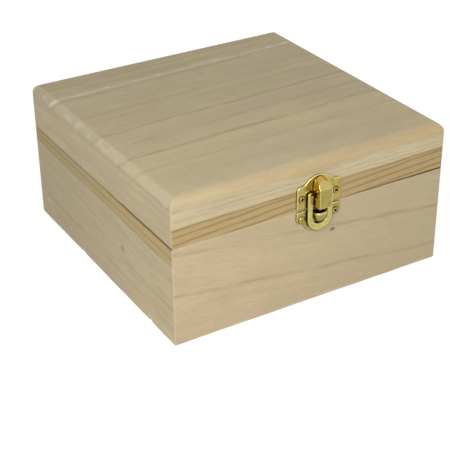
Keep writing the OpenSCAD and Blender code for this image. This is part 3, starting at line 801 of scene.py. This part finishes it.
def plate_outline(middle, half_high, swell_v, away):
    """Signed distance to a latch plate, as a function of the place right of its middle and above the seam.

    The ears are a rectangle 28.8 mm wide, with rounder corners away from the seam, up or down. A disc
    of 11.4 mm radius, cut off level with the ears at the seam, swells out between them. The smaller of
    the two distances holds, with the inner corners filled by a smooth blend.
    """
    blend = 0.9

    def distance(u, v):
        """Blend of the distances to the ears and to the swell, negative inside."""
        beyond = away * (v - middle)
        radius = np.where(beyond > 0, ear_r, seam_corner_r)
        ears = box_distance(u, v, (0, middle), (ear_half, half_high), radius)
        swell = np.maximum(np.hypot(u, v - swell_v) - swell_r, -beyond - half_high)
        share = np.clip(0.5 + 0.5 * (swell - ears) / blend, 0, 1)
        return swell + (ears - swell) * share - blend * share * (1 - share)

    return distance


def soil_and_shade_under_parts(u, v):
    """Painted shade with soiling under the lever and along the outside of the loop's U.

    Its edges are soft and uneven: the distances to both shapes wander by three slanting sine waves.
    """
    uneven = np.sin(0.83 * u + 0.71 * v) + np.sin(1.13 * v - 0.97 * u + 2) + 0.4 * np.sin(2.9 * u + 1.7 * v)
    under_lever = np.clip(0.5 - (box_distance(u, v, (0, 7.8), (3.9, 10.3), 3.6) + 0.2 * uneven) / 1.6, 0, 1)
    from_loop = abs(np.hypot(u, np.minimum(v + 5.3, 0)) - 7.4) + 0.2 * uneven
    under_loop = np.clip((1.6 - from_loop) / 1.1, 0, 1) * np.clip((10.4 - v) / 2.0, 0, 1)
    return np.maximum(under_lever, under_loop)


def plate_piece(outline, centre, screw_v):
    """Stamped latch plate with its marks: painted shade with soiling, the pale edge, and the thumb's polish.

    The side wall is darkened with painted shade, least where it faces up, and the plate round both
    screws with soiling and painted shade. The rolled edge is paler most where it faces up and a little
    to the left, a painted highlight with some rubbing, and the plate is polished round the lever's
    thumb end.
    """
    ease, step = 0.45, 0.05
    points, faces = stamped_plate(outline, centre, plate_thick, ease)
    u, v, out = points.T
    facing_up = (outline(u, v + step) - outline(u, v - step)) / (2 * step)
    facing_right = (outline(u + step, v) - outline(u - step, v)) / (2 * step)
    side = np.clip((plate_thick - 0.6 * ease - out) / (0.4 * ease), 0, 1)
    rolled = np.clip(1 + (outline(u, v) + ease) / 0.5, 0, 1) * (1 - side)
    thumbed = np.clip(1 - box_distance(u, v, (0, 10), (4.1, 9.1), 4.1) / 4.5, 0, 1) * (v > 3)
    # The rolled edge is paler where it faces up and a little to the left: a painted highlight, with some
    # rubbing.
    rub = rolled * (0.15 + 0.85 * np.clip(0.9 * facing_up - 0.4 * facing_right, 0, 1))
    # Soiling and painted shade round both screws.
    by_screw = np.clip((2.4 - np.hypot(abs(u) - latch_screw_u, v - screw_v)) / 0.35, 0, 0.65)
    # Painted shade on the side wall, least where it faces up.
    on_side = side * (0.9 - 0.7 * np.clip(facing_up, 0, 1))
    grime = np.maximum(np.maximum(on_side, by_screw), 0.8 * soil_and_shade_under_parts(u, v))
    return (on_front(u, v, out), faces), dict(grime=grime, rub=np.maximum(rub, 0.3 * thumbed))


def front_slab(outline, low, high, ease):
    """Outline in (height, distance out) on the latch, carried sideways."""
    rings = slab(outline, low, high, ease)
    return loft(on_front(rings[..., 2], rings[..., 0], rings[..., 1]))


def latch_seats(height, left_darkening, right_darkening):
    """Seats of both screws of a latch plate."""
    return [(-latch_screw_u, height, np.radians(15), left_darkening),
            (latch_screw_u, height, np.radians(55), right_darkening)]


latch_brass = brass("brass_latch", tint(178, 161, 88), tint(140, 119, 55), 0.2)
latch_screw_v, lug_u, lug_half, lug_r = 7.4, 2.6, 0.4, 1.3
latch_outline = plate_outline(middle=8.1, half_high=6.9, swell_v=8.6, away=1)
plate, marks = plate_piece(latch_outline, (0, 8.1), latch_screw_v)
tongue = lug_r * circle(np.linspace(0, np.pi, 17)) + [pin_v, pin_out]
low, high = pin_v - lug_r, pin_v + lug_r
tongue = np.concatenate([[[high, 0.8], [high, 2.6]], tongue, [[low, 2.6], [low, 0.8]]])
lugs = [front_slab(tongue, middle - lug_half, middle + lug_half, 0.12) for middle in (-lug_u, lug_u)]
# The lugs inside the lever are darkened as painted shade.
inside = np.ones(sum(len(points) for points, _ in lugs))
marks = {mark: np.r_[value, 0.8 * (mark == "grime") * inside] for mark, value in marks.items()}
add_piece("latch_plate", "lid", "brass", latch_brass, [plate] + lugs, **marks)
lever_pin = front_slab(disc(pin_r, 28) + [pin_v, pin_out], -4.2, 4.2, 0.18)
add_piece("lever_pin", "lid", "brass", pin_brass, [lever_pin])
add_screws("latch_plate_screws", "lid", on_front, latch_seats(latch_screw_v, 1.0, 1.0))


# The lever: a cap drawn from thin brass sheet, with a skirt on both sides and round the thumb end.
# It turns on the lever pin; a slot in each side lets it close over the lugs. Its inside and cut edges are
# painted dark, as shade.

sheet_thick = 0.8


def lever_shell():
    """Outer face of the lever as a grid: along a U-shaped path, and from the skirt's back edge inwards.

    The path runs up the left side, round a half circle and down the right side. Each row starts at
    the skirt's back edge, climbs the side, rolls over a quarter circle of 0.4 mm and crosses the
    face to the spine. The face is flat at 8 mm out, breaks back in a flat facet along the thumb end
    and curls back at the lower edge. Round the thumb end the skirt leans in by 1.4 mm as it climbs.
    Quads inside the two slots are left out. The marks are painted highlights on the facet, along the
    rolled edge and on the curled lower edge, a painted orange reflection on the skirt, and a thin film
    of soiling and painted shade elsewhere.
    """
    half, top, roll, lean, face_out = 4.1, 15.0, 0.4, 1.4, 8.0
    facet_v, facet_slope, facet_soft, curl_v, curl_r = 13.4, 0.6, 0.1, 2.7, 0.8
    skirt_back, low_back, slot_low, slot_high, slot_out = 1.55, 3.25, 7.6, 9.6, 5.4
    sides = np.array([2.0, 2.08, 2.25, 2.5, 2.8, 3.4, 4.9, 6.4, slot_low, slot_high, 10.8, 11.8, 12.7,
                      13.1, 13.3, 13.4, 13.5, 13.7, 14.2])
    bend = np.linspace(np.pi, 0, 41)
    flank = np.zeros(len(sides))
    base = np.concatenate([
        np.stack([flank - half, sides], axis=-1),
        half * circle(bend) + [0, top],
        np.stack([flank + half, sides[::-1]], axis=-1)])
    leaning = lean * np.concatenate([flank, np.sin(bend), flank])
    spine = np.stack([np.zeros(len(base)), np.minimum(base[:, 1], top)], axis=-1)
    spine[len(sides):-len(sides), 1] = top

    def face(v):
        """Distance out of the face at a height."""
        past = np.clip((v - facet_v) / facet_soft, -40, 40)
        facet = facet_slope * facet_soft * np.log1p(np.exp(past))
        curl = curl_r - np.sqrt(curl_r ** 2 - np.clip(curl_v - v, 0, curl_r) ** 2)
        return face_out - facet - curl

    front = face(base[:, 1] - leaning)
    back = np.where(base[:, 1] < (slot_low + slot_high) / 2, low_back, skirt_back)
    slot = np.minimum(slot_out, front - roll - 0.3)
    turn = np.linspace(0, np.pi / 2, 6)
    across = np.array([0.06, 0.25, 0.5, 0.75, 1.0])
    climb = np.stack([back, back + 0.12, (back + slot) / 2, slot, slot + 0.1, front - roll - 0.1])
    rolls = len(climb)
    flats = rolls + len(turn)
    inset = np.r_[np.zeros(rolls), roll * (1 - np.cos(turn)), roll + (half - roll) * across]
    share = 1 - np.tile(inset[:, None] / half, (1, len(base)))
    share[:rolls] = np.clip((climb - skirt_back) / (front - roll - skirt_back), 0, 1)
    flat = base[None] + ((spine - base) / half)[None] * inset[:, None, None]
    flat[..., 1] -= leaning * share
    out = face(flat[..., 1])
    out[rolls:flats] -= roll * (1 - np.sin(turn))[:, None]
    out[:rolls] = climb
    rows, columns = out.shape
    row = np.arange(rows)[:, None]
    quads = np.array(strip_faces(rows, columns, False)).reshape(rows - 1, columns - 1, 4)
    middle_v = (base[:-1, 1] + base[1:, 1]) / 2
    keep = ~((row[:-1] < 3) & (middle_v > slot_low) & (middle_v < slot_high))
    # Painted highlights along the rolled edge, the curled lower edge and the facet.
    rolled = 0.5 * ((row >= rolls) & (row < flats))
    lower_edge = np.clip(1 - (flat[..., 1] - sides[0]) / curl_r, 0, 0.8)
    on_facet = 0.5 * np.clip((flat[..., 1] - facet_v + facet_soft) / 0.2, 0, 1) * (row >= rolls)
    rub = np.maximum(np.maximum(rolled, lower_edge), on_facet)
    # The skirt carries a painted orange reflection of the plate.
    orange_reflection = np.where(row < rolls, 0.8, 0) + 0 * out
    shell = on_front(flat[..., 0], flat[..., 1], out).reshape(-1, 3), quads[keep][:, ::-1].tolist()
    # A thin film of soiling and painted shade lies on the lever's face.
    return shell, dict(rub=rub, orange_reflection=orange_reflection, grime=0.12 * (1 - rub) * (1 - orange_reflection))


shell, marks = lever_shell()
lever = add_piece("latch_lever", "latch_lever", "brass", latch_brass, [shell], crease=28.0, **marks)
# The inside and the sheet's cut edges take a dark brass: painted shade inside the cap.
lever.data.materials.append(brass("brass_inside_painted_shade", tint(70, 55, 24), tint(36, 28, 12), 0.45))
weld = lever.modifiers.new("spine", "WELD")
weld.merge_threshold = 0.02 * mm
sheet = lever.modifiers.new("sheet", "SOLIDIFY")
sheet.thickness = sheet_thick * mm
sheet.offset = -1.0
sheet.material_offset = 1
sheet.material_offset_rim = 1


# The loop: a flat brass band bent to a U, which hangs on the lever by a stub on each arm.
# When the latch is shut it goes round the catch and pulls the lid down.

loop_r, loop_half, loop_half_thick, loop_out, loop_top = 6.5, 1.6, 0.6, 2.4, 9.4


def loop_band():
    """Pillow-shaped section carried along a U, with a painted highlight along its edges.

    The path is two straight arms and a half circle of 6.5 mm radius, flattened by 0.25 mm at its
    lowest place. The section is a superellipse of power 4, 3.2 mm wide, or 3.9 mm there, and 1.2 mm
    thick; over the last 1 mm of each arm its width shrinks as a half ellipse.
    """
    low, flattened, widened, tip = -5.2, 0.25, 0.35, 1.0
    turn = np.linspace(np.radians(6), np.pi / 2, 8)
    arm = np.concatenate([loop_top + tip * np.cos(turn), np.linspace(loop_top, low, 16)[1:-1]])
    width = np.concatenate([loop_half * np.sin(turn), np.full(14, loop_half)])
    bend = np.linspace(np.pi, 2 * np.pi, 61)
    lowest = np.sin(bend) ** 2
    path = np.concatenate([
        np.stack([np.full(len(arm), -loop_r), arm], axis=-1),
        np.stack([loop_r * np.cos(bend), low + (loop_r - flattened * lowest) * np.sin(bend)], axis=-1),
        np.stack([np.full(len(arm), loop_r), arm[::-1]], axis=-1)])
    width = np.concatenate([width, loop_half + widened * lowest, width[::-1]])
    aside = np.concatenate([
        np.tile([-1.0, 0.0], (len(arm), 1)), circle(bend), np.tile([1.0, 0.0], (len(arm), 1))])
    round_turn = np.linspace(0, 2 * np.pi, 40, endpoint=False)
    wide, thick = [np.sign(wave) * np.sqrt(abs(wave)) for wave in (np.cos(round_turn), np.sin(round_turn))]
    flat = path[:, None] + aside[:, None] * (width[:, None] * wide)[..., None]
    out = np.broadcast_to(loop_out + loop_half_thick * thick, flat.shape[:2])
    # Painted highlight along both edges of the band.
    rub = np.broadcast_to(abs(wide) ** 6 * 0.6, flat.shape[:2])
    return loft(on_front(flat[..., 0], flat[..., 1], out)), rub.ravel()


loop_brass = brass("brass_loop", tint(196, 186, 114), tint(166, 149, 80), 0.22)
stub_r, stub_out, stub_long = 0.6, 2.8, 3.2
band, rub = loop_band()
stub = disc(stub_r, 24) + [loop_top, stub_out]
stubs = [front_slab(stub, low, low + stub_long, 0.1) for low in (-loop_r, loop_r - stub_long)]
# The stubs inside the lever are darkened as painted shade.
inside = np.ones(sum(len(points) for points, _ in stubs))
add_piece("latch_loop", "latch_loop", "brass", loop_brass, [band] + stubs,
          rub=np.r_[rub, 0 * inside], grime=np.r_[0 * rub, inside])


# The keeper on the lower box: a second stamped plate on two screws, with a rounded belly.
# A half bowl is pressed out of it as the catch that the loop goes round. Its rim is pale, from the
# loop's rubbing and a painted highlight, and it is darkened with painted shade below and inside.

def catch_bowl():
    """Half bowl with a rolled rim: a quarter ellipse 7 mm high, carried round a squarish plan.

    The plan is a superellipse of power 3, 4.3 mm to each side and 4.9 mm out of the plate, and the
    mouth sinks by 0.8 mm towards the plate. The section starts a hair off the upright axis, goes up
    the outside, over a half circle at the mouth and down the inside. Both ends lie in the plate.
    """
    half_wide, deep, outer_high, inner_high, mouth_v = 4.3, 4.9, 7.0, 6.2, -2.0
    inner_share, lip_share, lip_high, mouth_rise, mouth_sink = 0.82, 0.09, 0.4, 0.5, 0.8
    rise = np.linspace(np.pi / 2 - 0.03, 0.06, 18)
    roll = np.linspace(0, np.pi, 9)
    outer = np.stack([np.cos(rise), -outer_high * np.sin(rise)], axis=-1)
    rim = np.stack([1 - lip_share + lip_share * np.cos(roll), lip_high * (np.sin(roll) - 1)], axis=-1)
    inner = np.stack([inner_share * np.cos(rise), -inner_high * np.sin(rise)], axis=-1)[::-1]
    from_axis, height = np.concatenate([outer, rim, inner]).T[..., None]
    around = np.linspace(np.radians(-8), np.radians(188), 65)
    plan = (abs(np.cos(around)) ** 3 + abs(np.sin(around)) ** 3) ** (-1 / 3)
    u = from_axis * half_wide * plan * np.cos(around)
    out = plate_thick + from_axis * deep * plan * np.sin(around)
    v = mouth_v + height + np.where(height > -3, mouth_rise - mouth_sink * (1 - np.sin(around)), 0)
    # Paler towards the mouth and on the rim: the loop's rubbing and a painted highlight.
    rub = np.r_[np.linspace(0.0, 0.15, 16), np.full(12, 0.7), np.zeros(17)][:, None] + 0 * u
    # Darker towards the bottom outside and dark inside: painted shade.
    grime = np.r_[np.linspace(0.3, 0.12, 16), np.zeros(13), np.full(16, 0.95)][:, None] + 0 * u
    bowl = loft(on_front(u, v, out).swapaxes(0, 1))
    return bowl, dict(rub=rub.T.ravel(), grime=grime.T.ravel())


keeper_screw_v = -5.3
keeper_outline = plate_outline(middle=-4.1, half_high=3.7, swell_v=-3.6, away=-1)
plate, marks = plate_piece(keeper_outline, (0, -5.6), keeper_screw_v)
catch, catch_marks = catch_bowl()
marks = {mark: np.r_[value, catch_marks[mark]] for mark, value in marks.items()}
# The keeper's brass is a darker copy of the latch's, as painted shade.
keeper_brass_shaded = brass("brass_keeper_shaded", tint(165, 148, 83), tint(126, 105, 51), 0.22)
add_piece("keeper_plate", "box_body", "brass", keeper_brass_shaded, [plate, catch], **marks)
add_screws("keeper_screws", "box_body", on_front, latch_seats(keeper_screw_v, 0.25, 1.0))


# The stage: a pale floor that keeps the box's shadow and turns white away from it, in a white room.
# One soft lamp stands close to the camera, so the front is brightest and the far ends fall off;
# a weaker one behind keeps the hidden sides from going dark.

def seen_directly(tree):
    """1 for rays from the camera, and for those that metal or glass sends on; 0 for the light itself."""
    path = tree.nodes.new("ShaderNodeLightPath").outputs
    straight = calc(tree, "MAXIMUM", path["Is Camera Ray"], path["Is Glossy Ray"])
    return calc(tree, "MAXIMUM", straight, path["Is Transmission Ray"])


floor_half, floor_z = 6.0, -0.0002
floor_mesh = bpy.data.meshes.new("floor")
floor_corners = [(x * floor_half, y * floor_half, floor_z) for x, y in ((-1, -1), (1, -1), (1, 1), (-1, 1))]
floor_mesh.from_pydata(floor_corners, [], [(0, 1, 2, 3)])
floor = bpy.data.objects.new("floor", floor_mesh)
bpy.context.scene.collection.objects.link(floor)
material = bpy.data.materials.new("floor_pale")
material.use_nodes = True
tree = material.node_tree
tree.nodes.remove(tree.nodes["Principled BSDF"])
shadowed = add_node(tree, "BsdfDiffuse", {"Color": (0.35, 0.35, 0.35, 1)})
centre = tree.nodes.new("ShaderNodeTexCoord").outputs["Object"]
away = add_node(tree, "VectorMath", {0: centre}, operation="LENGTH").node.outputs["Value"]
glow = scaled(tree, smooth(tree, away, 0.25, 0.75), 0.2, 0.8)
white = add_node(tree, "Emission", {"Color": (1, 1, 1, 1), "Strength": glow})
shown = add_node(tree, "AddShader", {0: shadowed, 1: white})
pale = add_node(tree, "BsdfDiffuse", {"Color": (0.8, 0.8, 0.8, 1)})
surface = add_node(tree, "MixShader", {0: seen_directly(tree), 1: pale, 2: shown})
tree.links.new(surface, tree.nodes["Material Output"].inputs["Surface"])
floor_mesh.materials.append(material)

world = bpy.data.worlds.new("room")
bpy.context.scene.world = world
world.use_nodes = True
tree = world.node_tree
room_light = 0.26
tree.nodes["Background"].inputs["Color"].default_value = (1, 1, 1, 1)
tree.links.new(scaled(tree, seen_directly(tree), 1 - room_light, room_light),
               tree.nodes["Background"].inputs["Strength"])

box_middle = Vector((0, 0, 0.045))
for name, place, size, power in (
        ("front_lamp", (-0.39, -0.57, 0.51), 0.5, 4.9), ("back_lamp", (0.5, 0.7, 0.2), 0.35, 3.6)):
    lamp = bpy.data.lights.new(name, "AREA")
    lamp.shape = "DISK"
    lamp.size = size
    lamp.energy = power
    lamp_object = bpy.data.objects.new(name, lamp)
    bpy.context.scene.collection.objects.link(lamp_object)
    lamp_object.location = place
    lamp_object.visible_glossy = name == "front_lamp"
    lamp_object.rotation_euler = (box_middle - lamp_object.location).to_track_quat("-Z", "Y").to_euler()


# The camera stands to the left of the front and looks down on the box, as in the photograph.
# Its place, its turn and its long lens come from a fit to the outline of the box.

camera = bpy.data.cameras.new("camera")
camera.lens = 96.31
camera.sensor_width = 36.0
camera.clip_start = 0.01
camera_object = bpy.data.objects.new("camera", camera)
bpy.context.scene.collection.objects.link(camera_object)
azimuth, elevation, roll = np.radians(-30.487), np.radians(29.713), -0.0109
back = Vector((np.sin(azimuth) * np.cos(elevation), -np.cos(azimuth) * np.cos(elevation), np.sin(elevation)))
camera_object.location = (-0.33511, -0.56134, 0.37857)
camera_object.rotation_mode = "QUATERNION"
camera_object.rotation_quaternion = (-back).to_track_quat("-Z", "Y") @ Quaternion((0, 0, 1), roll)
bpy.context.scene.camera = camera_object
bpy.context.scene.view_settings.view_transform = "Standard"
